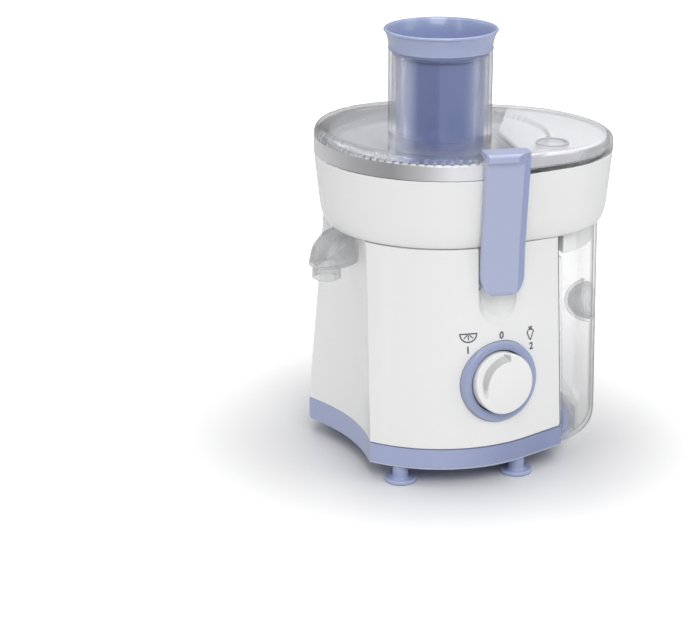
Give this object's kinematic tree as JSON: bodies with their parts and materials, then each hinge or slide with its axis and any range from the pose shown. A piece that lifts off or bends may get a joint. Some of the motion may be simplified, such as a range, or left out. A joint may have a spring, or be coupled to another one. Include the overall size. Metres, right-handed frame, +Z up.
{
  "type": "centrifugal juicer",
  "caption": "Upright centrifugal juicer with an egg-shaped body, round feed tube, side clamps over a clear lid, front speed knob, side spout and slide-off pulp container.",
  "frame": {"origin": "centre of the bounding box at floor level, under the middle of the feet", "axes": "+Z up along the filter's axis of spin, +X towards the pulp container, -Y towards the front with the speed knob"},
  "size_m": [0.227, 0.2008, 0.31],
  "materials": {
    "white_plastic": "glossy white moulding",
    "pale_plastic": "pale grey moulding, satin",
    "lavender_plastic": "glossy lavender blue moulding",
    "clear_plastic": "clear plastic with smoky edges",
    "steel": "satin steel",
    "laminated_iron": "stacked laminations",
    "copper": "enamelled copper wire and segments",
    "rubber": "matt black rubber and carbon",
    "black_plastic": "matt black moulding"
  },
  "bodies": {
    "body": {"main_housing": "white_plastic", "juice_collector": "white_plastic", "pulp_guide": "pale_plastic", "base": "lavender_plastic", "knob_ring": "lavender_plastic", "foot_1": "lavender_plastic", "foot_2": "lavender_plastic", "foot_3": "lavender_plastic", "foot_4": "lavender_plastic", "lid": "clear_plastic", "spout": "clear_plastic", "base_screw_1": "steel", "base_screw_2": "steel", "base_screw_3": "steel", "base_screw_4": "steel", "upper_bearing": "steel", "lower_bearing": "steel", "motor_top_bracket": "steel", "motor_bottom_bracket": "steel", "clamp_pin_front": "steel", "clamp_pin_rear": "steel", "stator_core": "laminated_iron", "field_coil_left": "copper", "field_coil_right": "copper", "motor_mount_1": "rubber", "motor_mount_2": "rubber", "motor_mount_3": "rubber", "motor_mount_4": "rubber", "shaft_seal": "rubber", "carbon_brush_front": "rubber", "carbon_brush_rear": "rubber", "cord_gland": "black_plastic", "brush_holder_front": "black_plastic", "brush_holder_rear": "black_plastic", "rotary_switch": "black_plastic"},
    "rotor": {"motor_shaft": "steel", "armature_core": "laminated_iron", "commutator": "copper", "cooling_fan": "black_plastic", "drive_coupling": "black_plastic", "filter_hub": "black_plastic", "grater_disc": "steel", "filter_cone": "steel", "filter_rim": "steel"},
    "pusher": {"pusher": "lavender_plastic"},
    "knob": {"speed_knob": "white_plastic", "switch_spindle": "steel"},
    "clamp_front": {"clamp_front": "lavender_plastic"},
    "clamp_rear": {"clamp_rear": "lavender_plastic"},
    "container": {"pulp_container": "clear_plastic"}
  },
  "joints": [
    {"name": "filter_spin", "type": "hinge", "parent": "body", "child": "rotor", "pos_m": [-0.01305, 0, 0.11], "axis": [0, 0, 1], "continuous": true},
    {"name": "pusher_slide", "type": "slide", "parent": "body", "child": "pusher", "axis": [0, 0, 1], "range_m": [0, 0.13]},
    {"name": "knob_turn", "type": "hinge", "parent": "body", "child": "knob", "pos_m": [0.00988, -0.08802, 0.075], "axis": [0.2513, -0.9649, 0.0767], "range_deg": [-50, 50]},
    {"name": "clamp_front_swing", "type": "hinge", "parent": "body", "child": "clamp_front", "pos_m": [0.01005, -0.0839, 0.1424], "axis": [1, 0, 0], "range_deg": [0, 55]},
    {"name": "clamp_rear_swing", "type": "hinge", "parent": "body", "child": "clamp_rear", "pos_m": [0.01005, 0.0839, 0.1424], "axis": [-1, 0, 0], "range_deg": [0, 55]},
    {"name": "container_pull", "type": "slide", "parent": "body", "child": "container", "axis": [1, 0, 0], "range_m": [0, 0.15]}
  ]
}
